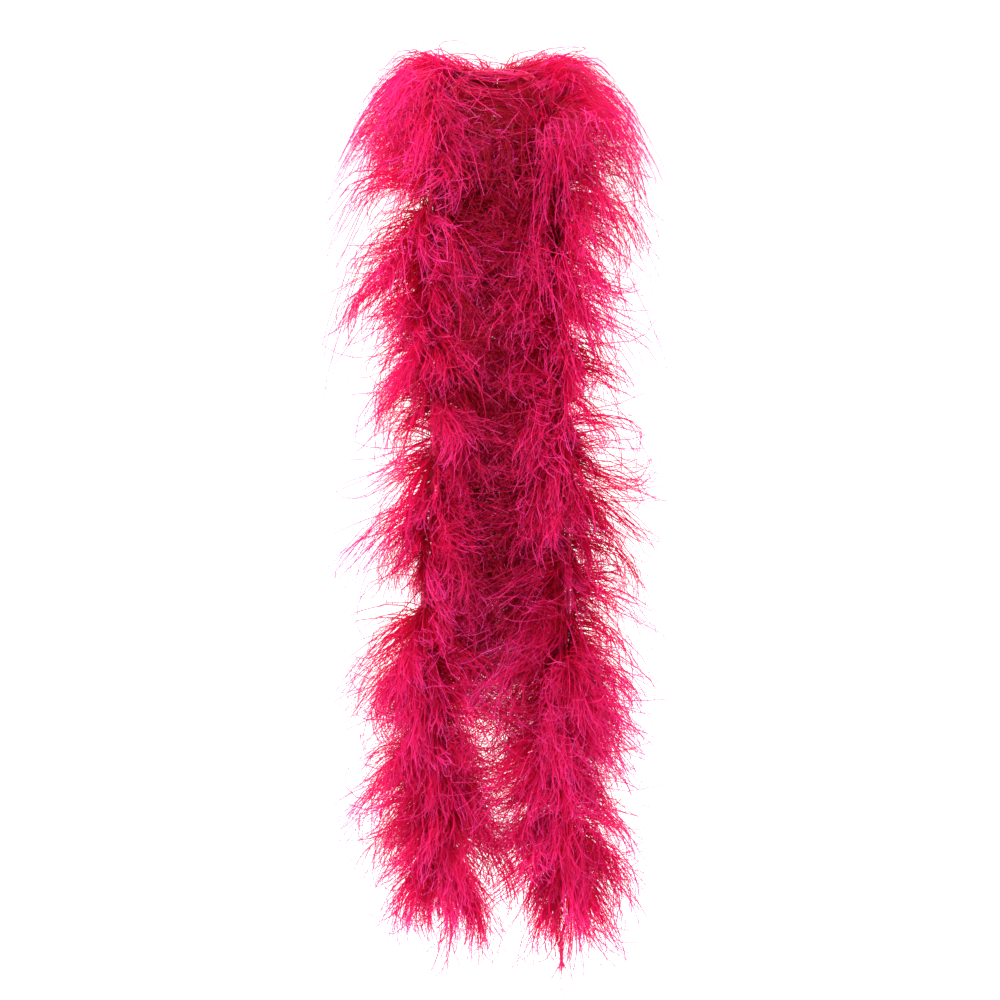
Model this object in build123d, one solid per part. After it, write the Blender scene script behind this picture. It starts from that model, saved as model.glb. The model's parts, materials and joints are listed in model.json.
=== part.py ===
"""Ostrich-feather boa, worn round a neck with both ends hanging down the front.

Millimetres, +Z up. The origin is on the neck's upright axis, level with the nape. -Y is the
front, -X is the side called left. A twisted core cord carries three plies of plumes. Every plume
lies with its quill on the core, is whipped on with thread, and lets its flues arch out and fall.
The stretch round the neck and over the chest is carried by the wearer. Below the bust each side
hangs free, and is divided where the limp cord is let bend.
"""

import os
from math import atan2, cos, degrees, radians, sin, sqrt, tan

from build123d import *

# Core cord, quills and thread
coreDiameter = 6.0
quillDiameter = 1.6
quillLength = 14.0
quillClearance = 0.3  # between a straight quill and the bowed core
bindingWall = 0.8
bindingWidth = 6.0
fitClearance = 0.1  # between quills, binding and plume roots
hingeGap = 0.4  # between two stretches of core at a bend, and from an end knot to its tail

# Plumes
plyCount = 3
plumePitch = 27.0  # along the core, from one ring of plumes to the next
plumeReach = 56.0  # how far a plume stands out from the core
sideReach = 88.0  # the same for plumes that face away from the other strand
middleClearance = 9.0  # from the tips of plumes that face the other strand to the middle between them
plumeFall = 58.0  # how far a plume's tip hangs below its root
plumeRise = 6.0  # degrees above level at which a plume leaves the core
plumeWidth = 34.0
plumeThickness = 4.0
bendClearance = 16.0  # from the lowest plume tips of a stretch to the bend below it
quillToBend = 4.0  # from a bend to the first quills below it

# Plumes that lie on the wearer: direction from straight outward, reach and fall
chestPlumes = [(0, 104, 45), (55, 66, 34), (86, 56, 34)]
napeReach = 80.0
napeFall = 42.0

# End knots, tails and tassels
endKnotDiameter = 12.0
endKnotGrip = 5.0  # length of core held in the end knot
tailDiameter = 3.6
tailKnotDiameter = 7.6
tailKnotHeight = 7.0
tailKnotClearance = 0.4  # round the bowed tail
threadDiameter = 1.0
threadSplay = 9.0  # degrees from one thread of the tassel to the next

# Route of the core: left bend, chest, nape, chest, right bend
collarRoute = [
    (-76, -124, -270), (-78, -119, -226), (-78, -107, -176), (-74, -88, -128),
    (-68, -62, -84), (-62, -30, -46), (-57, 6, -18), (-41, 41, 0), (-2, 59, 6),
    (40, 42, 1), (58, 8, -16), (62, -28, -44), (66, -61, -83), (70, -88, -128),
    (71, -107, -177), (69, -119, -227), (67, -124, -270),
]
# Route of each free strand, from its top bend to its end knot
strandRoutes = {
    "left": {
        "upper": [(-76, -124, -270), (-74, -125, -325), (-71, -126, -380), (-70, -125, -435), (-74, -125, -490)],
        "middle": [(-74, -125, -490), (-80, -126, -545), (-82, -125, -600), (-80, -124, -655), (-75, -124, -710)],
        "lower": [(-75, -124, -710), (-71, -125, -762), (-69, -126, -813), (-68, -124, -862), (-66, -124, -907)],
    },
    "right": {
        "upper": [(67, -124, -270), (70, -125, -325), (74, -126, -380), (77, -125, -435), (78, -125, -490)],
        "middle": [(78, -125, -490), (80, -126, -545), (80, -125, -600), (76, -124, -655), (71, -124, -710)],
        "lower": [(71, -124, -710), (68, -125, -765), (69, -126, -820), (74, -125, -872), (78, -124, -922)],
    },
}
# Route of each tail below its end knot, as steps from the tail's own bend
tailSteps = {
    "left": [(0, 0, 0), (2, 0.5, -8), (0, 0, -16), (-2, 0, -24), (-1, 0, -32)],
    "right": [(0, 0, 0), (6, 1, -10), (3, 0, -24), (-3, -1, -38), (-6, 0, -50), (-6, 0, -62), (-5, 0, -73)],
}
tailKnotsAlong = {"left": [26.0], "right": [29.0, 60.0]}  # distances down the tail
tasselThreads = {"left": 4, "right": 7}
tasselLength = {"left": 8.0, "right": 15.0}

coreRadius = coreDiameter / 2
quillRing = coreRadius + quillClearance + quillDiameter / 2
bindingInside = quillRing + quillDiameter / 2 + fitClearance
bindingOutside = bindingInside + bindingWall
plumeRoot = bindingOutside + fitClearance
middle = (strandRoutes["left"]["upper"][0][0] + strandRoutes["right"]["upper"][0][0]) / 2
outlineCut = 0.97  # share of the outline's length that the plume keeps
rootHalfWidth = plumeWidth / 2 * sqrt(1 - outlineCut**2)
firstStation = quillToBend + quillLength / 2  # from a bend to the first ring of plumes below it
lastStation = plumeFall + bendClearance  # from the last ring of plumes to the bend below it
endStation = endKnotGrip + quillLength / 2 + fitClearance  # from the last ring to the core's end
up = Vector(0, 0, 1)


def cordRadii(points, diameter):
    """The largest tangent arc that the two runs at each corner allow."""
    spots = [Vector(*p) for p in points]
    radii = []
    for before, here, after in zip(spots, spots[1:], spots[2:]):
        turn = (here - before).get_angle(after - here)
        shorter = min((here - before).length, (after - here).length)
        radii.append(0.45 * shorter / tan(radians(turn / 2)))
    assert min(radii) > 2 * diameter, "the cord bends too sharply"
    return radii


def cordPath(points, diameter, name):
    radii = cordRadii(points, diameter)
    print(name, "arc radii", [round(r) for r in radii])
    return FilletPolyline(*points, radius=radii)


def shortened(points, cut):
    """The route with its last point drawn back along the last run."""
    last, before = Vector(*points[-1]), Vector(*points[-2])
    return [*points[:-1], tuple(last + (before - last).normalized() * cut)]


def tube(path, diameter):
    return sweep(Plane(path @ 0, z_dir=path % 0) * Circle(diameter / 2), path=path)


def ringRound(centre, direction, inner, outer, width):
    plane = Plane(centre - direction * (width / 2), z_dir=direction)
    return extrude(plane * (Circle(outer) - Circle(inner)), width)


def flatDirection(azimuth):
    """A level direction: 0 is +X and 90 is +Y."""
    return Vector(cos(radians(azimuth)), sin(radians(azimuth)), 0)


def plumeBlade(reach, fall):
    """One plume's flues as an arched blade: root at the origin, out along X and down."""
    chord = sqrt(reach**2 + fall**2)
    turn = 2 * (degrees(atan2(fall, reach)) + plumeRise)
    radius = chord / 2 / sin(radians(turn / 2))
    centre = (radius * sin(radians(plumeRise)), -radius * cos(radians(plumeRise)))
    firstAngle = 90 + plumeRise - turn
    half = plumeThickness / 2
    outer = CenterArc(centre, radius + half, firstAngle, turn)
    inner = CenterArc(centre, radius - half, firstAngle, turn)
    profile = make_face([outer, Line(outer @ 1, inner @ 1), inner, Line(inner @ 0, outer @ 0)])
    band = extrude(Plane.XZ * profile, plumeWidth / 2, both=True)
    # Seen square to the blade it is an ellipse, cut off a little at both ends
    along = Vector(reach, 0, -fall).normalized()
    outlinePlane = Plane(along * (chord / 2), x_dir=along, z_dir=along.cross(Vector(0, 1, 0)))
    outline = extrude(outlinePlane * Ellipse(chord / 2 / outlineCut, plumeWidth / 2), chord / 2, both=True)
    return band & outline


def placedPlume(centre, tangent, azimuth, reach, fall):
    """A plume standing out from the core at centre. Also gives the direction its quill lies in."""
    level = flatDirection(azimuth)
    side = (level - tangent * level.dot(tangent)).normalized()
    start = level * cos(radians(plumeRise)) + up * sin(radians(plumeRise))
    tilt = sin(radians(start.get_angle(side)))
    slew = abs(side.dot(up.cross(level)))
    root = centre + side * (plumeRoot + plumeThickness / 2 * tilt + rootHalfWidth * slew)
    return Plane(root, x_dir=level, z_dir=up).location * plumeBlade(reach, fall), side


def quill(centre, tangent, side):
    start = centre + side * quillRing - tangent * (quillLength / 2)
    return extrude(Plane(start, z_dir=tangent) * Circle(quillDiameter / 2), quillLength)


def binding(centre, tangent):
    return ringRound(centre, tangent, bindingInside, bindingOutside, bindingWidth)


def strandPlumes(side, number, centre):
    """Azimuth, reach and fall of four plumes round the core, every other ring turned by an eighth."""
    turned = 45 * (number % 2)
    outward = 180 if side == "left" else 0
    inwardReach = abs(centre.X - middle) - plumeRoot - rootHalfWidth - middleClearance
    made = []
    for quarter in range(4):
        azimuth = turned + 90 * quarter
        facing = cos(radians(azimuth - outward))
        reach = plumeReach + (sideReach - plumeReach) * max(0, facing) ** 2
        if azimuth % 180 == 0 and azimuth != outward:
            reach = inwardReach
        made.append((azimuth, reach, plumeFall))
    return made


def chestPlume(side, number):
    """One plume of the three directions over the chest, never back into the wearer."""
    turned, reach, fall = chestPlumes[number % len(chestPlumes)]
    azimuth = 180 + turned if side == "left" else -turned
    return azimuth, reach, fall


def ringsAlong(length, first, last):
    """Distances of evenly spaced rings, as near to the plume pitch as fits."""
    gaps = max(1, round((length - first - last) / plumePitch))
    step = (length - first - last) / gaps
    return [first + step * n for n in range(gaps + 1)]


def dressRing(pieces, zone, group, number, centre, tangent, plumes):
    """Adds one ring: its plumes to a ply, their quills, and the thread that binds them."""
    ply = f"plumes_{zone}_ply_{number % plyCount + 1}"
    for azimuth, reach, fall in plumes:
        blade, side = placedPlume(centre, tangent, azimuth, reach, fall)
        pieces.setdefault(ply, []).append(blade)
        pieces.setdefault(f"quills_{group}", []).append(quill(centre, tangent, side))
    pieces.setdefault(f"binding_thread_{group}", []).append(binding(centre, tangent))


def collar(pieces):
    """The stretch that lies on the wearer: chest, nape, chest."""
    points = shortened(collarRoute, coreRadius + hingeGap)
    points = shortened(points[::-1], coreRadius + hingeGap)[::-1]
    path = cordPath(points, coreDiameter, "collar")
    pieces["core_cord_collar"] = [tube(path, coreDiameter)]
    rings = ringsAlong(path.length, lastStation, lastStation)
    for number, along in enumerate(rings):
        centre, tangent = path @ (along / path.length), path % (along / path.length)
        if centre.Y > 0:
            outward = degrees(atan2(centre.Y, centre.X))
            zone, plumes = "nape", [(outward, napeReach, napeFall)]
        elif centre.X < 0:
            zone, plumes = "left_chest", [chestPlume("left", -number)]
        else:
            zone, plumes = "right_chest", [chestPlume("right", number)]
        dressRing(pieces, zone, "collar", number, centre, tangent, plumes)


def freeStretch(pieces, side, part, route, last):
    """A hanging stretch of core, rounded at its top bend, with its rings of plumes."""
    name = f"{side}_{part}"
    path = cordPath(route, coreDiameter, name)
    pieces[f"core_cord_{name}"] = [tube(path, coreDiameter) + Pos(*route[0]) * Sphere(coreRadius)]
    for number, along in enumerate(ringsAlong(path.length, firstStation, last)):
        centre, tangent = path @ (along / path.length), path % (along / path.length)
        dressRing(pieces, name, name, number, centre, tangent, strandPlumes(side, number, centre))
    return path


def endKnot(pieces, side, path):
    """The plies tied off round the end of the core."""
    end, tangent = path @ 1, path % 1
    centre = end - tangent * endKnotGrip + tangent * (endKnotDiameter / 2)
    hole = Plane(end - tangent * endKnotDiameter, z_dir=tangent) * Circle(coreRadius + fitClearance / 2)
    knot = Pos(*centre) * Sphere(endKnotDiameter / 2) - extrude(hole, endKnotDiameter + fitClearance)
    pieces[f"end_knot_{side}"] = [knot]
    return centre - up * (endKnotDiameter / 2 + tailDiameter / 2 + hingeGap)


def knotBead(centre, tangent):
    """A thread knot, drawn tight on the tail."""
    bead = scale(Sphere(0.5), by=(tailKnotDiameter, tailKnotDiameter, tailKnotHeight))
    placed = Plane(centre, z_dir=tangent).location * bead
    start = centre - tangent * tailKnotHeight
    hole = Plane(start, z_dir=tangent) * Circle(tailDiameter / 2 + tailKnotClearance)
    return placed - extrude(hole, 2 * tailKnotHeight)


def tassel(side, end, tangent):
    """The frayed thread ends, fanned out below the tail."""
    count = tasselThreads[side]
    axis = Vector(0, 1, 0)
    threads = []
    for number in range(count):
        spread = number - (count - 1) / 2
        direction = tangent.rotate(Axis((0, 0, 0), axis), spread * threadSplay)
        start = end + tangent * fitClearance + axis.cross(tangent) * (spread * threadDiameter * 1.2)
        ring = Plane(start, z_dir=direction) * Circle(threadDiameter / 2)
        threads.append(extrude(ring, tasselLength[side] * (1 - 0.06 * (number % 3))))
    return threads


def tail(pieces, side, top):
    points = [tuple(top + Vector(*step)) for step in tailSteps[side]]
    path = cordPath(points, tailDiameter, f"{side} tail")
    pieces[f"tail_cord_{side}"] = [tube(path, tailDiameter) + Pos(*points[0]) * Sphere(tailDiameter / 2)]
    pieces[f"tail_knots_{side}"] = [
        knotBead(path @ (along / path.length), path % (along / path.length))
        for along in tailKnotsAlong[side]
    ]
    pieces[f"tail_tassel_{side}"] = tassel(side, path @ 1, path % 1)
    print(side, "tail turns at", [round(c, 2) for c in top], "length", round(path.length, 1))


def strand(pieces, side):
    """One free side of the boa, from its bust bend to its tassel."""
    routes = strandRoutes[side]
    for part in ("upper", "middle"):
        freeStretch(pieces, side, part, shortened(routes[part], coreRadius + hingeGap), lastStation)
    path = freeStretch(pieces, side, "lower", routes["lower"], endStation)
    tail(pieces, side, endKnot(pieces, side, path))


def main():
    pieces = {}
    collar(pieces)
    for side in ("left", "right"):
        strand(pieces, side)
    os.makedirs("parts", exist_ok=True)
    for name, solids in sorted(pieces.items()):
        export_step(Compound(children=[s for piece in solids for s in piece.solids()]), f"parts/{name}.step")
    print(len(pieces), "nodes,", sum(len(s) for s in pieces.values()), "solids")


main()
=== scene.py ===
import json
import math

import bmesh
import bpy
import numpy as np
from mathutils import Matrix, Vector


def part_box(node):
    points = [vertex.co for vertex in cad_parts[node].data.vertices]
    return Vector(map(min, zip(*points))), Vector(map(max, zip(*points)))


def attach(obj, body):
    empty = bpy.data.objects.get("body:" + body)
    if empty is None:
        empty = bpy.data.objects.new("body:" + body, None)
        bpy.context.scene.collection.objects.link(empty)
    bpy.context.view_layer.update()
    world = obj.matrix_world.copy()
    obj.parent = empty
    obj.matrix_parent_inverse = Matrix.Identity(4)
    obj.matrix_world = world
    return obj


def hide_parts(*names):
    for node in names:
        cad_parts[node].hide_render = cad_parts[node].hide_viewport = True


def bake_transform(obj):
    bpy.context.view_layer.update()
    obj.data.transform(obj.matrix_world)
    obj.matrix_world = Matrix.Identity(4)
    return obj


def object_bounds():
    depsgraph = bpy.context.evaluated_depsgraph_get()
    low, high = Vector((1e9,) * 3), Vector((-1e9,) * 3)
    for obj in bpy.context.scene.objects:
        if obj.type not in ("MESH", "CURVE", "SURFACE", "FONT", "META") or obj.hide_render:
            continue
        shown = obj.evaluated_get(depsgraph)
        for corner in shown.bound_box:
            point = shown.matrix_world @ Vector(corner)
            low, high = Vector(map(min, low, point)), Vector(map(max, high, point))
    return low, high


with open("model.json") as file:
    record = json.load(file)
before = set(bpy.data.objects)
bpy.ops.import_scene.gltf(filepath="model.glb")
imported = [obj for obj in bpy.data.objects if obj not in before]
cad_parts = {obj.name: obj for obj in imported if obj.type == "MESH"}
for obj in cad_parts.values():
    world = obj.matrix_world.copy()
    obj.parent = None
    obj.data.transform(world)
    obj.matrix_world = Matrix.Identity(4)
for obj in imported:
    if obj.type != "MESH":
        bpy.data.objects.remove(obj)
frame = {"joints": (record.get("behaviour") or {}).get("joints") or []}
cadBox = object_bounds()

joints = {joint["child"]: joint for joint in frame["joints"]}
sides = ("left", "right")

# Camera

shot = {"aimAt": (0.003, -0.12, -0.479), "distance": 4.2, "elevation": 5.0, "lens": 134.0}


def addCamera():
    camera = bpy.data.objects.new("shotCamera", bpy.data.cameras.new("shotCamera"))
    bpy.context.collection.objects.link(camera)
    camera.data.lens = shot["lens"]
    camera.data.clip_end = 50
    tilt = math.radians(shot["elevation"])
    back = Vector((0, -math.cos(tilt), math.sin(tilt))) * shot["distance"]
    camera.location = Vector(shot["aimAt"]) + back
    camera.rotation_euler = (math.pi / 2 - tilt, 0, 0)
    bpy.context.scene.camera = camera


addCamera()
print("camera placed")

# Materials


def newMaterial(name):
    material = bpy.data.materials.new(name)
    material.use_nodes = True
    nodes = material.node_tree.nodes
    return material, nodes, material.node_tree.links, nodes["Principled BSDF"]


def ramp(nodes, stops):
    node = nodes.new("ShaderNodeValToRGB")
    while len(node.color_ramp.elements) < len(stops):
        node.color_ramp.elements.new(0.5)
    for element, (place, colour) in zip(node.color_ramp.elements, stops):
        element.position = place
        element.color = (*colour, 1)
    return node


def mathNode(nodes, links, operation, first, second):
    node = nodes.new("ShaderNodeMath")
    node.operation = operation
    links.new(first, node.inputs[0])
    if isinstance(second, (int, float)):
        node.inputs[1].default_value = second
    else:
        links.new(second, node.inputs[1])
    return node.outputs[0]


def colourMix(nodes, links, blend, share, first, second):
    node = nodes.new("ShaderNodeMix")
    node.data_type = "RGBA"
    node.blend_type = blend
    node.inputs[0].default_value = share
    links.new(first, node.inputs[6])
    links.new(second, node.inputs[7])
    return node.outputs[2]


flueLook = {
    # Colours: dark at the quill as painted shade inside the boa; rows of dye per lock, the darkest rows
    # painted shade
    "shadedRootToTip": [(0.0, (0.60, 0.0015, 0.040)), (0.22, (0.80, 0.0035, 0.085)),
                  (0.62, (0.89, 0.012, 0.185)), (1.0, (0.93, 0.052, 0.350))],
    "dyeAndShadeRows": [(0.0, (0.40, 0.10, 0.09)), (0.3, (0.74, 0.45, 0.44)),
                (0.6, (0.95, 0.9, 0.92)), (1.0, (1.0, 1.9, 1.4))],
    "rows": 64,
    "roughness": 0.65,
    "specular": 0.16,
    "sheen": 0.06,
    "throughLight": 0.5,
}


def flueMaterial():
    # Along a flue the colour runs from dark at the quill, painted shade in the depth of the boa, to bright at
    # the tip. Row by row it gets brighter: each lock's own dye, with painted shade in the darkest rows
    material, nodes, links, shader = newMaterial("dyedFlueWithPaintedShade")
    place = nodes.new("ShaderNodeUVMap")
    place.uv_map = "OFBake"
    split = nodes.new("ShaderNodeSeparateXYZ")
    links.new(place.outputs[0], split.inputs[0])
    along = ramp(nodes, flueLook["shadedRootToTip"])
    links.new(split.outputs[0], along.inputs[0])
    dyeAndShade = ramp(nodes, flueLook["dyeAndShadeRows"])
    links.new(split.outputs[1], dyeAndShade.inputs[0])
    colour = colourMix(nodes, links, "MULTIPLY", 1.0, along.outputs[0], dyeAndShade.outputs[0])
    links.new(colour, shader.inputs["Base Color"])
    shader.inputs["Roughness"].default_value = flueLook["roughness"]
    shader.inputs["Specular IOR Level"].default_value = flueLook["specular"]
    shader.inputs["Sheen Weight"].default_value = flueLook["sheen"]
    shader.inputs["Sheen Roughness"].default_value = 0.4
    shader.inputs["Sheen Tint"].default_value = (1.0, 0.35, 0.55, 1)
    through = nodes.new("ShaderNodeBsdfTranslucent")
    links.new(colour, through.inputs[0])
    both = nodes.new("ShaderNodeMixShader")
    both.inputs[0].default_value = flueLook["throughLight"]
    links.new(shader.outputs[0], both.inputs[1])
    links.new(through.outputs[0], both.inputs[2])
    links.new(both.outputs[0], nodes["Material Output"].inputs[0])
    return material


def fibreMaterial(name, dark, bright, grain, roughness, sheen, bumpDepth):
    # Spun or grown fibre: fine streaks and a slow drift of the dye
    material, nodes, links, shader = newMaterial(name)
    place = nodes.new("ShaderNodeTexCoord")
    fine = nodes.new("ShaderNodeTexNoise")
    fine.inputs["Scale"].default_value = grain
    fine.inputs["Detail"].default_value = 6
    fine.inputs["Distortion"].default_value = 0.6
    links.new(place.outputs["Object"], fine.inputs["Vector"])
    slow = nodes.new("ShaderNodeTexNoise")
    slow.inputs["Scale"].default_value = grain / 25
    links.new(place.outputs["Object"], slow.inputs["Vector"])
    mixed = mathNode(nodes, links, "MULTIPLY", slow.outputs[0], 0.6)
    finer = mathNode(nodes, links, "MULTIPLY", fine.outputs[0], 0.6)
    drift = mathNode(nodes, links, "ADD", mixed, finer)
    colour = ramp(nodes, [(0.3, dark), (0.75, bright)])
    links.new(drift, colour.inputs[0])
    links.new(colour.outputs[0], shader.inputs["Base Color"])
    shader.inputs["Roughness"].default_value = roughness
    shader.inputs["Sheen Weight"].default_value = sheen
    shader.inputs["Sheen Tint"].default_value = (1.0, 0.4, 0.55, 1)
    bump = nodes.new("ShaderNodeBump")
    bump.inputs["Strength"].default_value = 0.6
    bump.inputs["Distance"].default_value = bumpDepth
    links.new(fine.outputs[0], bump.inputs["Height"])
    links.new(bump.outputs[0], shader.inputs["Normal"])
    return material


# Each fibre: its dark and bright dye, grain, roughness, sheen and bump depth
fibres = {
    "quills": ("dyedQuill", (0.44, 0.004, 0.05), (0.78, 0.02, 0.12), 900, 0.5, 0.0, 0.0001),
    "core_cord": ("coreCordFibre", (0.36, 0.002, 0.04), (0.70, 0.008, 0.10), 1600, 0.8, 0.0, 0.0003),
    "binding_thread": ("windingThread", (0.34, 0.002, 0.04), (0.66, 0.008, 0.10), 2200, 0.7, 0.0, 0.0002),
    "tail_thread": ("tailThread", (0.30, 0.002, 0.025), (0.56, 0.008, 0.060), 2400, 0.7, 0.05, 0.0003),
}
finishes = {"plumes": flueMaterial()}
for slot, facts in fibres.items():
    finishes[slot] = fibreMaterial(*facts)
print("finishes mixed")

# Shared ways of making


def splineLine(points):
    # The smooth line of a cord, read back from its curve
    curve = bpy.data.curves.new("line", "CURVE")
    curve.dimensions = "3D"
    curve.resolution_u = 16
    spline = curve.splines.new("NURBS")
    spline.points.add(len(points) - 1)
    for point, place in zip(spline.points, points):
        point.co = (*place, 1)
    spline.order_u = 3
    spline.use_endpoint_u = True
    holder = bpy.data.objects.new("line", curve)
    bpy.context.collection.objects.link(holder)
    mesh = bpy.data.meshes.new_from_object(holder)
    line = np.array([v.co for v in mesh.vertices])
    bpy.data.objects.remove(holder)
    bpy.data.curves.remove(curve)
    bpy.data.meshes.remove(mesh)
    return line


def lengthsAlong(line):
    return np.concatenate([[0], np.cumsum(np.linalg.norm(np.diff(line, axis=0), axis=1))])


def unit(vectors):
    return vectors / np.maximum(np.linalg.norm(vectors, axis=-1, keepdims=True), 1e-9)


def atLengths(line, distances):
    # Points and directions at these distances along the line
    marks = lengthsAlong(line)
    points = np.stack([np.interp(distances, marks, line[:, i]) for i in range(3)], axis=1)
    slopes = np.gradient(line, axis=0)
    directions = np.stack([np.interp(distances, marks, slopes[:, i]) for i in range(3)], axis=1)
    return points, unit(directions)


def strandsObject(name, strands, thickness, sidesAround=1):
    # Several thin round strands as one mesh. Each is (points, widths as shares of thickness)
    curve = bpy.data.curves.new(name, "CURVE")
    curve.dimensions = "3D"
    curve.bevel_depth = thickness / 2
    curve.bevel_resolution = sidesAround
    curve.use_fill_caps = True
    for points, widths in strands:
        spline = curve.splines.new("POLY")
        spline.points.add(len(points) - 1)
        spline.points.foreach_set("co", np.c_[points, np.ones(len(points))].ravel())
        spline.points.foreach_set("radius", np.broadcast_to(widths, len(points)).astype(float))
    holder = bpy.data.objects.new(name, curve)
    bpy.context.collection.objects.link(holder)
    mesh = bpy.data.meshes.new_from_object(holder)
    bpy.data.objects.remove(holder)
    bpy.data.curves.remove(curve)
    mesh.polygons.foreach_set("use_smooth", np.ones(len(mesh.polygons), bool))
    mesh.name = name
    piece = bpy.data.objects.new(name, mesh)
    bpy.context.collection.objects.link(piece)
    return piece


def twistedStrands(line, count, ropeDiameter, lay, stepsPerTurn=10, phase=0.0):
    # The strands of a laid rope, wound round its line
    total = lengthsAlong(line)[-1]
    steps = max(8, int(total / lay * stepsPerTurn))
    distances = np.linspace(0, total, steps)
    points, directions = atLengths(line, distances)
    first = unit(np.cross(directions, np.array([0.31, 0.95, 0.12])))
    second = np.cross(directions, first)
    made = []
    for strand in range(count):
        angle = phase + 2 * np.pi * (distances / lay + strand / count)
        offset = first * np.cos(angle)[:, None] + second * np.sin(angle)[:, None]
        made.append((points + offset * ropeDiameter * 0.235, 1.0))
    return made


def finishPiece(piece, slot):
    piece.data.materials.clear()
    piece.data.materials.append(finishes[slot])


# Tails first, because they hang free: a short one on the left, a long one on the right

tailCords = {
    "diameter": 0.0036,
    "strandShare": 0.68,  # of the cord's diameter
    "lay": 0.0085,
    "steps": {
        "left": [(0, 0, 0), (2, 0.5, -8), (0, 0, -16), (-2, 0, -24), (-1, 0, -32)],
        "right": [(0, 0, 0), (6, 1, -10), (3, 0, -24), (-3, -1, -38), (-6, 0, -50), (-6, 0, -62),
                  (-5, 0, -73)],
    },
    "knotsAlong": {"left": [0.025], "right": [0.028, 0.058]},
    "knotSize": 0.0074,
    "knotThread": 0.0021,
    "tassel": {"left": (12, 0.008), "right": (22, 0.0145)},
    "tasselThread": 0.00090,
    "splay": 0.50,
}


def knotLines(centre, direction, size, turns):
    # A knot drawn tight: thread that loops round itself, as a (2, turns) torus knot squeezed flat
    angle = np.linspace(0, 2 * np.pi, 26 * turns)
    ring = 0.30 + 0.13 * np.cos(turns * angle)
    local = [ring * np.cos(2 * angle), ring * np.sin(2 * angle), 0.24 * np.sin(turns * angle)]
    local = np.stack(local, axis=1)
    turned = np.array(Vector(direction).to_track_quat("Z", "Y").to_matrix())
    return np.asarray(centre) + size * local @ turned.T


def makeTail(side):
    rng = np.random.default_rng(71 if side == "left" else 72)
    joint = joints[f"{side}_tail"]
    top = np.array(joint["pos_m"])
    line = splineLine([top + np.array(step) / 1000 for step in tailCords["steps"][side]])
    thick = tailCords["diameter"]
    body = f"{side}_tail"
    rope = twistedStrands(line, 3, thick, tailCords["lay"], 12)
    cord = strandsObject(f"tailCord_{side}", rope, thick * tailCords["strandShare"], 2)
    knots = []
    for along in tailCords["knotsAlong"][side]:
        centre, direction = atLengths(line, np.array([along]))
        knots.append((knotLines(centre[0], direction[0], tailCords["knotSize"], 5), 1.0))
    knotPiece = strandsObject(f"tailKnots_{side}", knots, tailCords["knotThread"], 2)
    end, direction = line[-1], unit(line[-1] - line[-4])
    count, length = tailCords["tassel"][side]
    across = unit(np.cross(direction, np.array([0, 1, 0.0])))
    threads = []
    for number in range(count):
        angle = 2 * np.pi * number / count + rng.uniform(-0.3, 0.3)
        out = across * math.cos(angle) + np.cross(direction, across) * math.sin(angle) * 0.6
        own = length * rng.uniform(0.7, 1.0)
        share = np.linspace(0, 1, 9)[:, None]
        bend = out * rng.uniform(0.2, 1.0) * tailCords["splay"]
        wave = across * np.sin(share * rng.uniform(4, 8) + angle) * 0.0005
        threads.append((end - direction * 0.001 + out * 0.0007 + own * (direction * share + bend * share**1.6)
                        + wave * share, np.linspace(1.0, 0.55, 9)))
    tassel = strandsObject(f"tailTassel_{side}", threads, tailCords["tasselThread"], 1)
    for piece, kind in ((cord, "cord"), (knotPiece, "knots"), (tassel, "tassel")):
        finishPiece(piece, "tail_thread")
        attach(piece, body)
        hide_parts(f"tail_{kind}_{side}")


for side in sides:
    makeTail(side)
print("tails hung")

# Core cord: the route of the whole boa, from the left end up round the nape and down to the right end

coreRoute = {
    "collar": [
        (-76, -124, -270), (-78, -119, -226), (-78, -107, -176), (-74, -88, -128),
        (-68, -62, -84), (-62, -30, -46), (-57, 6, -18), (-41, 41, 0), (-2, 59, 6),
        (40, 42, 1), (58, 8, -16), (62, -28, -44), (66, -61, -83), (70, -88, -128),
        (71, -107, -177), (69, -119, -227), (67, -124, -270),
    ],
    "left": [
        (-74, -125, -325), (-71, -126, -380), (-70, -125, -435), (-74, -125, -490), (-80, -126, -545),
        (-82, -125, -600), (-80, -124, -655), (-75, -124, -710), (-71, -125, -762), (-69, -126, -813),
        (-68, -124, -862), (-66, -124, -907),
    ],
    "right": [
        (70, -125, -325), (74, -126, -380), (77, -125, -435), (78, -125, -490), (80, -126, -545),
        (80, -125, -600), (76, -124, -655), (71, -124, -710), (68, -125, -765), (69, -126, -820),
        (74, -125, -872), (78, -124, -922),
    ],
}
coreCord = {"diameter": 0.006, "strandShare": 0.54, "lay": 0.019}
coreLine = splineLine(np.array(coreRoute["left"][::-1] + coreRoute["collar"] + coreRoute["right"]) / 1000)
coreMarks = lengthsAlong(coreLine)
coreLength = coreMarks[-1]
napeMark = coreMarks[np.argmax(coreLine[:, 1])]
print("core cord", round(coreLength, 3), "m long")


def markAtHeight(side, height):
    # Distance along the core where this side passes a height
    half = coreMarks < napeMark if side == "left" else coreMarks >= napeMark
    return float(coreMarks[half][np.argmin(abs(coreLine[half, 2] - height))])


# Zones: each is a stretch of core that rides on one body, or spans one joint

zoneCuts = {"shoulder": -0.135, "bust": -0.385, "waist": -0.600, "thigh": -0.815}


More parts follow.
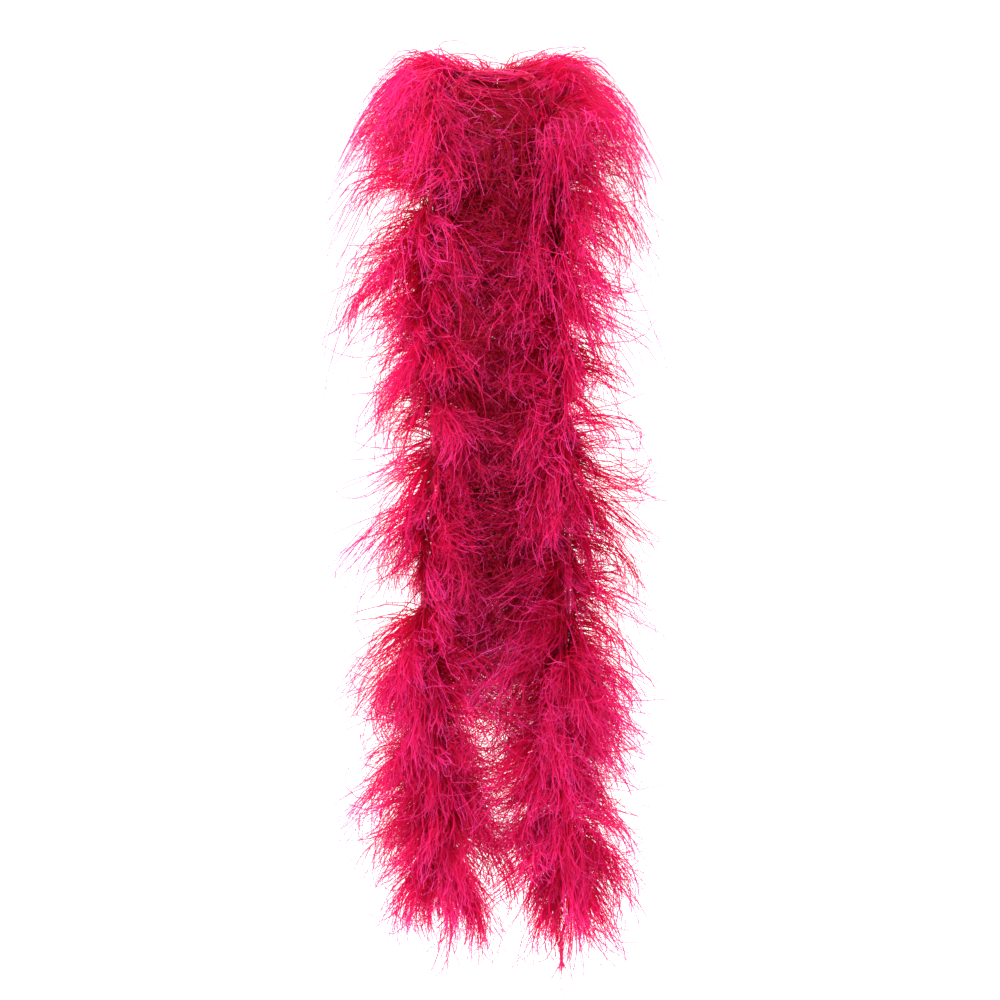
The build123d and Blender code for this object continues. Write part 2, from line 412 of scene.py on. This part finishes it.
def listZones():
    zones = [("nape", markAtHeight("left", -0.030), markAtHeight("right", -0.030), "collar", None)]
    for side in sides:
        lowest = 0.0 if side == "left" else coreLength
        marks = [markAtHeight(side, -0.030)] + [markAtHeight(side, h) for h in zoneCuts.values()] + [lowest]
        kinds = [("chest", "collar", None), ("bust", "collar", f"{side}_upper"),
                 ("waist", f"{side}_upper", f"{side}_middle"), ("thigh", f"{side}_middle", f"{side}_lower"),
                 ("end", f"{side}_lower", None)]
        for (kind, upper, lower), start, stop in zip(kinds, marks, marks[1:]):
            zones.append((f"{side}_{kind}", min(start, stop), max(start, stop), upper, lower))
    return zones


def settle(piece, upper, lower):
    if lower is None:
        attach(piece, upper)
        return
    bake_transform(piece)


# What each zone stands for in the CAD model. The core has no nodes of its own at the chest and the end
hangingNodes = {
    "left_bust": "left_upper", "left_waist": "left_middle", "left_thigh": "left_lower", "left_end": None,
    "right_bust": "right_upper", "right_waist": "right_middle", "right_thigh": "right_lower",
    "right_end": None,
}
zoneNodes = {"nape": "collar", "left_chest": None, "right_chest": None, **hangingNodes}
plumeNodes = {"nape": "nape", "left_chest": "left_chest", "right_chest": "right_chest", **hangingNodes}


def wearerNormals(points, directions):
    # Straight away from the wearer, square to the core: outward and up at the nape, forward below the bust
    flat = unit(points * (1, 1, 0))
    height = np.clip((points[:, 2:3] + 0.27) / 0.27, 0, 1)
    share = height * height * (3 - 2 * height)
    away = unit(flat + np.array([0, 0, 0.3]) * share) * share + np.array([0, -1, 0]) * (1 - share)
    return unit(away - directions * (away * directions).sum(1, keepdims=True)), share[:, 0]


def coreStretch(start, stop, step=0.004):
    count = max(3, int((stop - start) / step) + 1)
    return atLengths(coreLine, np.linspace(start, stop, count))[0]


# Quills lie wound on the core, each shaved thin and tapering to its tip

quills = {"length": 0.150, "pitch": 0.098, "plies": 3, "turn": 0.230, "diameter": 0.0019, "standOff": 0.0042}
windings = {"pitch": 0.027, "turns": 7, "thread": 0.0007, "radius": 0.00535, "pointsPerTurn": 12}


def roundCore(distances, angle, radius):
    points, directions = atLengths(coreLine, distances)
    normals, share = wearerNormals(points, directions)
    across = np.cross(directions, normals)
    out = normals * np.cos(angle)[:, None] + across * np.sin(angle)[:, None]
    return points + out * np.asarray(radius)[..., None], out, directions, share


def quillStrands(start, stop, rng):
    made = []
    for ply in range(quills["plies"]):
        first = math.ceil((start / quills["pitch"]) - ply / 3)
        place = (first + ply / 3) * quills["pitch"]
        while place < stop:
            reach = min(quills["length"], coreLength - place - 0.004)
            if reach > 0.03:
                distances = np.linspace(place, place + reach, 26)
                turn = 2 * np.pi * (distances / quills["turn"] + ply / 3) + rng.normal(0, 0.15)
                lift = np.linspace(0, 0.0012, 26) * rng.uniform(0.4, 1.0)
                line = roundCore(distances, turn, quills["standOff"] + lift)[0]
                made.append((line, np.linspace(1.0, 0.28, 26)))
            place += quills["pitch"]
    return made


def windingStrands(start, stop, rng):
    made = []
    for place in np.arange(start + windings["pitch"] / 2, stop, windings["pitch"]):
        steps = windings["turns"] * windings["pointsPerTurn"]
        distances = place + np.linspace(-0.5, 0.5, steps) * windings["turns"] * windings["thread"] * 1.08
        distances = np.clip(distances + rng.normal(0, 0.00006, steps), 0, coreLength)
        angle = np.linspace(0, 2 * np.pi * windings["turns"], steps) + rng.uniform(0, 6)
        made.append((roundCore(distances, angle, windings["radius"] + rng.normal(0, 0.00004, steps))[0], 1.0))
    return made


def makeCore(zone, start, stop, upper, lower, seed):
    rng = np.random.default_rng(seed)
    node = zoneNodes[zone]
    rope = twistedStrands(coreStretch(start, stop), 3, coreCord["diameter"], coreCord["lay"], 10,
                          2 * np.pi * start / coreCord["lay"])
    parts = [
        ("coreCord", "core_cord", rope, coreCord["diameter"] * coreCord["strandShare"]),
        ("quills", "quills", quillStrands(start, stop, rng), quills["diameter"]),
        ("windings", "binding_thread", windingStrands(start, stop, rng), windings["thread"]),
    ]
    for name, slot, strands, thickness in parts:
        piece = strandsObject(f"{name}_{zone}", strands, thickness, 1)
        finishPiece(piece, slot)
        settle(piece, upper, lower)
        if node:
            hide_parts(f"{slot}_{node}")


# Flues: one ribbon with barbules along it, copied for every flue and bent along its own fall

flue = {
    "segments": 6,
    "stepLengths": (1.35, 1.3, 1.15, 0.95, 0.70, 0.55),  # shorter towards the tip, where a flue curls most
    "ribbon": 0.0014,
    "barbules": 24,
    "barbuleReach": 0.0038,
    "barbuleLean": 48.0,
    "barbuleWidth": 0.0006,
    "usualLength": 0.105,
}


def flueTemplate():
    bm = bmesh.new()
    bmesh.ops.create_grid(bm, x_segments=flue["segments"], y_segments=1, size=0.5)
    for vert in bm.verts:
        along = vert.co.x + 0.5
        taper = 1 - 0.62 * along
        vert.co = (along, vert.co.y * flue["ribbon"] * taper, 0)
    lean = math.radians(flue["barbuleLean"])
    for number in range(flue["barbules"]):
        share = (number + 0.7) / (flue["barbules"] + 0.6)
        around = 2.4 * number  # each barbule stands out another way
        reach = flue["barbuleReach"] * (1 - 0.45 * share) * (0.8 + 0.4 * ((number * 7) % 5) / 4)
        root = flue["barbuleWidth"] / 2 / flue["usualLength"]
        tip = share + reach * math.cos(lean) / flue["usualLength"]
        out = reach * math.sin(lean)
        made = bmesh.ops.create_circle(bm, segments=3, radius=1, cap_ends=True)["verts"]
        places = [(share - root, 0), (share + root, 0), (min(tip, 1.0), out)]
        for vert, (along, away) in zip(made, places):
            vert.co = (along, away * math.cos(around), away * math.sin(around))
    uv = bm.loops.layers.uv.new("OFBake")
    for face in bm.faces:
        for loop in face.loops:
            width = flue["ribbon"] if abs(loop.vert.co.y) < flue["ribbon"] else 2 * flue["barbuleReach"]
            loop[uv].uv = (loop.vert.co.x, 0.5 + 0.8 * max(-0.5, min(0.5, loop.vert.co.y / width)))
    mesh = bpy.data.meshes.new("flue")
    bm.to_mesh(mesh)
    bm.free()
    return mesh


template = flueTemplate()


def copiedMesh(name, count):
    # The template's copies, one block of vertices after another
    holder = bpy.data.objects.new(name, template)
    bpy.context.collection.objects.link(holder)
    array = holder.modifiers.new("copies", "ARRAY")
    array.count = count
    array.use_relative_offset = False
    array.use_constant_offset = True
    array.constant_offset_displace = (0, 0, 0)
    bpy.context.view_layer.update()
    depsgraph = bpy.context.evaluated_depsgraph_get()
    mesh = bpy.data.meshes.new_from_object(holder.evaluated_get(depsgraph))
    bpy.data.objects.remove(holder)
    mesh.name = name
    return mesh


plumage = {
    "perMetre": 21500,  # flues on a metre of core, over all plies
    "perLock": 28,
    "strayShare": 0.13,
    "length": (0.096, 0.021),
    "longShare": 0.20,
    "longLength": (0.142, 0.013),
    "shoulderLength": (0.119, 0.020),
    "ownLength": (0.55, 1.08),
    "strayLonger": 0.42,
    "lengthLimits": (0.035, 0.148),
    "droop": (2.4, 0.8),
    "shoulderDroop": (1.9, 0.9),
    "ownDroop": (0.82, 1.18),
    "droopLimits": (0.3, 4.5),
    "curl": 2.2,
    "curlGrowth": 2.3,
    "ownCurl": 0.55,
    "strayCurl": 3.4,  # how many times more a stray flue curls by itself
    "shoulderCurl": 0.7,
    "lean": (12.0, 17.0),
    "ownLean": 0.07,
    "heldLean": 0.7,
    "endLean": 52.0,
    "endReach": 0.065,
    "plySides": (-1.15, 1.15),  # a quill's flues leave it on its two sides
    "lockTurn": 1.0,
    "ownTurn": 0.12,
    "strayTurn": 0.8,
    "heldTurn": 0.47,
    "inwardMost": (1.75, 0.95),  # the furthest turn towards the other strand, below and above the throat
    "foldBack": 0.4,
    "ownWay": 0.045,
    "rootRadius": 0.0045,
    "rootSpread": 0.010,
    "gather": 0.42,
    "gatherReach": 0.7,
    "wave": 0.0046,
    "waveCount": (5, 11),
    "swells": {"length": 0.10, "droop": 0.3, "turn": 0.26},
    "proud": (0.0145, 0.0130, 0.0330),  # how far flues may stand out of the CAD model's box
    "roomUsed": (0.70, 1.0),
    "neckRadius": 0.056,
    "openThroat": (-0.125, -0.055),
    "faceSpread": 0.35,
    "brightRow": 18,  # the darkest dye row of the locks that face out
    "ownRow": 4,
    "endShorter": 0.12,
    "slimmer": {"height": -0.345, "reach": 0.13, "left": 0.12, "right": 0.28},
}
# Locks that fill the space between the strands, from the throat down to the thighs
filling = {
    "share": 0.50,
    "throat": (0.030, 0.075),
    "thighs": (-0.69, -0.58),
    "turn": (1.38, 0.36),
    "heldTurn": 0.5,
    "length": (0.122, 0.015),
    "droop": (1.1, 0.5),
    "frontRow": 38,
    "backRow": 0,
    "deep": (0.50, 1.30),  # turns between which they take darker rows, painted shade as they lie further behind
}
# Short locks that lie along the core all round it. Shares and rows are for the hanging and the held core; the
# held core's darker row is painted shade round the neck
cover = {"shares": (0.15, 0.34), "length": (0.046, 0.010), "lean": (55.0, 12.0), "rows": (36, 10)}
# Over the shoulders the flues lie under a dome that falls away from the neck
cape = {"top": 0.024, "start": 0.062, "steep": 8.4, "soft": 0.024, "uneven": 0.016,
        "dip": 0.030, "dipWidth": (0.010, 0.075), "ceilingDrop": (0.002, 0.026)}


def swellWaves(seed):
    rng = np.random.default_rng(seed)
    return rng.uniform(30, 105, 7), rng.integers(-2, 3, 7), rng.uniform(0, 2 * np.pi, 7)


swellShapes = {kind: swellWaves(31 + number) for number, kind in enumerate(plumage["swells"])}


def swell(kind, distances, angle):
    # A slow change along and round the core, so that neighbouring locks are long or fall together
    pace, around, phase = swellShapes[kind]
    waves = np.sin(distances[:, None] * pace + angle[:, None] * around + phase)
    return waves.mean(1) * 2.0 * plumage["swells"][kind]


def centred(angle):
    return (angle + np.pi) % (2 * np.pi) - np.pi


def eased(values, low, high):
    share = np.clip((values - low) / (high - low), 0, 1)
    return share * share * (3 - 2 * share)


def clearOfNeck(path):
    # Flues that would enter the wearer's neck lie round it
    beside = np.maximum(np.linalg.norm(path[:, :, :2], axis=2, keepdims=True), 1e-4)
    push = np.maximum(plumage["neckRadius"] / beside, 1) - 1
    level = eased(path[:, :, 2:3], -0.090, -0.045)
    path[:, :, :2] *= 1 + push * level


def underTheCape(path, rng):
    beside = np.linalg.norm(path[:, :, :2], axis=2)
    uneven = rng.normal(0, cape["uneven"], (len(path), 1))
    dip = cape["dip"] * (1 - eased(abs(path[:, :, 0]), *cape["dipWidth"]))
    roof = cape["top"] - cape["steep"] * np.maximum(beside - cape["start"], 0) ** 2 - dip + uneven
    ceiling = cadBox[1][2] + plumage["proud"][2] - rng.uniform(*cape["ceilingDrop"], (len(path), 1))
    roof = np.minimum(roof, ceiling)
    over = path[:, :, 2] - roof + cape["soft"]
    bent = roof - cape["soft"] * np.exp(-np.maximum(over, 0) / cape["soft"])
    path[:, :, 2] = np.where(over > 0, bent, path[:, :, 2])


def insideTheBoa(path, rng):
    # A flue that would stand out further than the whole boa does is drawn in towards its root
    low, high = np.array(cadBox[0]), np.array(cadBox[1])
    root = path[:, :1]
    offset = path - root
    room = np.where(offset > 0, high + plumage["proud"] - root, root - low + plumage["proud"])
    room = room * rng.uniform(*plumage["roomUsed"], (len(path), 1, 1))
    over = (abs(offset) / np.maximum(room, 0.001))[:, :, :2].max(axis=(1, 2))
    return root + offset / np.maximum(over, 1)[:, None, None]


def between(pair, share):
    # From the first value of a pair to its second
    return pair[0] + (pair[1] - pair[0]) * share


def lockTurns(mark, ply, spots, held, rng):
    # The side of the core on which each lock leaves it: 0 faces out, and more faces the other strand
    locks = len(mark)
    turn = 2 * np.pi * (mark / quills["turn"] + ply / 3) + rng.choice(plumage["plySides"], locks)
    turn = centred(turn + rng.normal(0, plumage["lockTurn"], locks))
    turn = turn + swell("turn", mark, turn)
    turn = turn * (1 - plumage["heldTurn"] * held)  # on the wearer they spread to the free side only
    most = between(plumage["inwardMost"], eased(spots[:, 2], *plumage["openThroat"]))
    return np.where(turn > most, most - plumage["foldBack"] * (turn - most), turn)


def lockLengths(mark, spots, held, inward, covering, rng):
    locks = len(mark)
    longLock = rng.random(locks) < plumage["longShare"]
    longer, usual = rng.normal(*plumage["longLength"], locks), rng.normal(*plumage["length"], locks)
    length = np.where(longLock, longer, usual)
    length = length * (1 - held) + rng.normal(*plumage["shoulderLength"], locks) * held
    length = np.where(inward, rng.normal(*filling["length"], locks), length)
    length = np.where(covering, rng.normal(*cover["length"], locks), length)
    slim = plumage["slimmer"]
    slimming = np.where(mark > napeMark, slim["right"], slim["left"])
    slimming = slimming * (1 - eased(abs(spots[:, 2] - slim["height"]), 0, slim["reach"]))
    return length * (1 - slimming * ~inward)


def planLocks(start, stop, ply, locks, rng):
    # Each lock leaves the core at one place and falls one way
    mark = rng.uniform(start, stop, locks)
    spots, along = atLengths(coreLine, mark)
    held = wearerNormals(spots, along)[1]
    high, low = eased(spots[:, 2], *filling["thighs"]), eased(-spots[:, 2], *filling["throat"])
    inward = rng.random(locks) < filling["share"] * high * low
    covering = (rng.random(locks) < between(cover["shares"], held)) & ~inward
    turn = lockTurns(mark, ply, spots, held, rng)
    turn = np.where(inward, rng.normal(*filling["turn"], locks) + filling["heldTurn"] * held, turn)
    turn = np.where(covering, rng.uniform(-np.pi, np.pi, locks), turn)
    length = lockLengths(mark, spots, held, inward, covering, rng)
    droop, heldDroop = rng.normal(*plumage["droop"], locks), rng.normal(*plumage["shoulderDroop"], locks)
    droop = droop * (1 - held) + heldDroop * held
    droop = np.where(inward, rng.normal(*filling["droop"], locks), droop)
    lean = np.radians(rng.normal(*plumage["lean"], locks)) * (1 - plumage["heldLean"] * held)
    toEnd = 1 - eased(np.minimum(mark, coreLength - mark), 0, plumage["endReach"])
    lean = lean + np.radians(plumage["endLean"]) * toEnd * rng.uniform(0.5, 1.1, locks)
    lean = np.where(covering, np.radians(rng.normal(*cover["lean"], locks)), lean)
    curl = plumage["curl"] * rng.uniform(0.3, 1.0, locks) * (1 + plumage["shoulderCurl"] * held)
    # Filling locks that lie further behind take darker rows: painted shade
    dark = between((filling["frontRow"], filling["backRow"]), eased(turn, *filling["deep"]))
    bright = rng.integers(plumage["brightRow"], flueLook["rows"], locks)
    rows = np.where(inward, dark.astype(int), bright)
    # Cover locks on the held core take a darker row: painted shade round the neck
    rows = np.where(covering, between(cover["rows"], held).astype(int), rows)
    return {
        "mark": mark, "spots": spots, "turn": turn, "lean": lean, "rows": rows,
        "length": length * (1 + swell("length", mark, turn)) * (1 - plumage["endShorter"] * toEnd),
        "droop": np.clip(droop * (1 + swell("droop", mark, turn)), *plumage["droopLimits"]),
        "face": unit(rng.normal(0, 1, (locks, 3))),
        "curl": unit(rng.normal(0, 1, (locks, 3))) * curl[:, None],
    }


def fall(root, way, length, droop, curl):
    # Step by step a flue bends down under its weight and round with its curl
    steps = flue["segments"]
    path = np.empty((len(root), steps + 1, 3))
    path[:, 0] = root
    for step, stepLength in enumerate(flue["stepLengths"]):
        share = (step + 0.5) / steps
        pull = np.array([0, 0, -1.0]) * (droop * share)[:, None] + curl * share**2 * plumage["curlGrowth"]
        way = unit(way + pull / steps * 2)
        path[:, step + 1] = path[:, step] + way * (length * stepLength / steps)[:, None]
    return path, way


def fluePaths(start, stop, ply, rng):
    # The line of every flue and the row of dye and painted shade that it takes. Each keeps near its lock, and
    # strays do not
    count = int((stop - start) * plumage["perMetre"] / 3)
    plan = planLocks(start, stop, ply, max(1, count // plumage["perLock"]), rng)
    lockOf = rng.integers(0, len(plan["mark"]), count)
    stray = rng.random(count) < plumage["strayShare"]
    distances = np.clip(plan["mark"][lockOf] + rng.normal(0, plumage["rootSpread"], count), start, stop)
    angle = plan["turn"][lockOf] + rng.normal(0, plumage["ownTurn"], count)
    angle = centred(angle + stray * rng.normal(0, plumage["strayTurn"], count))
    root, out, direction, held = roundCore(distances, angle, np.full(count, plumage["rootRadius"]))
    down = np.where((distances < napeMark)[:, None], -direction, direction)
    lean = (plan["lean"][lockOf] + rng.normal(0, plumage["ownLean"], count))[:, None]
    way = unit(out * np.cos(lean) + down * np.sin(lean) + rng.normal(0, plumage["ownWay"], (count, 3)))
    length = plan["length"][lockOf] * rng.uniform(*plumage["ownLength"], count)
    length = np.clip(length * (1 + plumage["strayLonger"] * stray), *plumage["lengthLimits"])
    droop = plan["droop"][lockOf] * rng.uniform(*plumage["ownDroop"], count)
    curl = rng.normal(0, plumage["ownCurl"], (count, 3)) * np.where(stray, plumage["strayCurl"], 1)[:, None]
    path, way = fall(root, way, length, droop, plan["curl"][lockOf] + curl)
    # A lock's flues close in on each other on their way out
    share = np.linspace(0, 1, flue["segments"] + 1)
    offset = (root - plan["spots"][lockOf]) * np.where(stray, 0, plumage["gather"])[:, None]
    path -= offset[:, None, :] * eased(share, 0, plumage["gatherReach"])[None, :, None]
    across = unit(np.cross(way, rng.normal(0, 1, (count, 3))))
    phase = share * rng.uniform(*plumage["waveCount"], (count, 1)) + rng.uniform(0, 6, (count, 1))
    path += across[:, None, :] * (np.sin(phase) * share * plumage["wave"])[:, :, None]
    clearOfNeck(path)
    underTheCape(path, rng)
    rows = plan["rows"][lockOf] + rng.normal(0, plumage["ownRow"], count).astype(int)
    face = unit(plan["face"][lockOf] + rng.normal(0, plumage["faceSpread"], (count, 3)))
    return insideTheBoa(path, rng), face, np.clip(rows, 0, flueLook["rows"] - 1)


def makeFlues(zone, start, stop, upper, lower, ply, seed):
    rng = np.random.default_rng(seed)
    path, face, row = fluePaths(start, stop, ply, rng)
    count, steps = len(path), flue["segments"]
    mesh = copiedMesh(f"flues_{zone}_ply_{ply + 1}", count)
    local = np.empty(len(mesh.vertices) * 3)
    mesh.vertices.foreach_get("co", local)
    local = local.reshape(count, -1, 3)
    slopes = unit(np.gradient(path, axis=1))
    wide = unit(np.cross(slopes, face[:, None]))
    thick = np.cross(slopes, wide)
    at = np.clip(local[0, :, 0], 0, 1) * steps
    low = np.minimum(at.astype(int), steps - 1)
    part = (at - low)[None, :, None]

    def blendAlong(values):
        return values[:, low] * (1 - part) + values[:, low + 1] * part

    places = blendAlong(path)
    places += blendAlong(wide) * local[:, :, 1:2] + blendAlong(thick) * local[:, :, 2:3]
    mesh.vertices.foreach_set("co", places.ravel())
    # Every flue takes one of the rows of dye and painted shade
    layer = mesh.uv_layers["OFBake"].uv
    uv = np.empty(len(layer) * 2)
    layer.foreach_get("vector", uv)
    uv = uv.reshape(count, -1, 2)
    uv[:, :, 1] = (row[:, None] + uv[:, :, 1]) / flueLook["rows"]
    layer.foreach_set("vector", uv.ravel())
    mesh.update()
    piece = bpy.data.objects.new(mesh.name, mesh)
    bpy.context.collection.objects.link(piece)
    finishPiece(piece, "plumes")
    settle(piece, upper, lower)
    if plumeNodes[zone]:
        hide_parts(f"plumes_{plumeNodes[zone]}_ply_{ply + 1}")
    return count


fluesMade = 0
for number, (zone, start, stop, upper, lower) in enumerate(listZones()):
    makeCore(zone, start, stop, upper, lower, 100 + number)
    for ply in range(3):
        fluesMade += makeFlues(zone, start, stop, upper, lower, ply, 200 + 10 * number + ply)
print("core bound,", fluesMade, "flues bent")

# End knots: the plies tied off round the end of the core

endKnots = {"size": 0.0118, "thread": 0.0027, "turns": 7}


def makeEndKnot(side):
    low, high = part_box(f"end_knot_{side}")
    centre = (np.array(low) + np.array(high)) / 2
    line = knotLines(centre, (0, 0, 1), endKnots["size"], endKnots["turns"])
    knot = strandsObject(f"endKnot_{side}", [(line, 1.0)], endKnots["thread"], 2)
    finishPiece(knot, "tail_thread")
    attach(knot, f"{side}_lower")
    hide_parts(f"end_knot_{side}")


for side in sides:
    makeEndKnot(side)
print("ends knotted")

# Studio

studio = {
    "paper": (0.93, 0.93, 0.94),
    "floorBelow": -1.45,
    "wallBehind": 6.0,
    "halfDepth": 7.0,
    "widerThanDeep": 3.5,
    "worldLight": 0.53,
    "lights": [
        ("keyLight", (-1.1, -1.35, 0.65), (0, -0.1, -0.10), 0.9, 66),
        ("fillLight", (2.2, -2.4, 0.5), (0, -0.1, -0.2), 2.4, 22),
        ("backLight", (0.4, 1.8, 1.6), (0, -0.1, -0.5), 2.2, 55),
        ("paperLight", (0, 3.2, 4.6), (0, 6, -0.5), 4.0, 360),
    ],
}


def addStudio():
    bm = bmesh.new()
    wall, half = studio["wallBehind"], studio["halfDepth"]
    bmesh.ops.create_grid(bm, x_segments=1, y_segments=1, size=half)
    bmesh.ops.scale(bm, verts=bm.verts, vec=(studio["widerThanDeep"], 1, 1))
    bmesh.ops.translate(bm, verts=bm.verts, vec=(0, wall - half, studio["floorBelow"]))
    back = [e for e in bm.edges if all(v.co.y > wall - 0.1 for v in e.verts)]
    made = bmesh.ops.extrude_edge_only(bm, edges=back)["geom"]
    bmesh.ops.translate(bm, verts=[g for g in made if isinstance(g, bmesh.types.BMVert)], vec=(0, 0, 9))
    corner = [e for e in bm.edges if all(abs(v.co.y - wall) < 0.01 and v.co.z < 0 for v in e.verts)]
    bmesh.ops.bevel(bm, geom=corner, offset=1.6, segments=16, profile=0.5, affect="EDGES", material=-1)
    mesh = bpy.data.meshes.new("paperSweep")
    bm.to_mesh(mesh)
    bm.free()
    mesh.polygons.foreach_set("use_smooth", np.ones(len(mesh.polygons), bool))
    sweep = bpy.data.objects.new("paperSweep", mesh)
    bpy.context.collection.objects.link(sweep)
    material, nodes, links, shader = newMaterial("whitePaper")
    shader.inputs["Base Color"].default_value = (*studio["paper"], 1)
    shader.inputs["Roughness"].default_value = 0.9
    mesh.materials.append(material)
    world = bpy.data.worlds.new("studioAir")
    world.use_nodes = True
    world.node_tree.nodes["Background"].inputs[0].default_value = (1, 1, 1, 1)
    world.node_tree.nodes["Background"].inputs[1].default_value = studio["worldLight"]
    bpy.context.scene.world = world
    for name, place, aimedAt, size, power in studio["lights"]:
        light = bpy.data.objects.new(name, bpy.data.lights.new(name, "AREA"))
        light.data.shape = "DISK"
        light.data.size = size
        light.data.energy = power
        light.location = place
        aim = Vector(aimedAt) - Vector(place)
        light.rotation_euler = aim.to_track_quat("-Z", "Y").to_euler()
        light.visible_camera = False
        bpy.context.collection.objects.link(light)
    bpy.context.scene.view_settings.view_transform = "Standard"


addStudio()
print("studio lit")
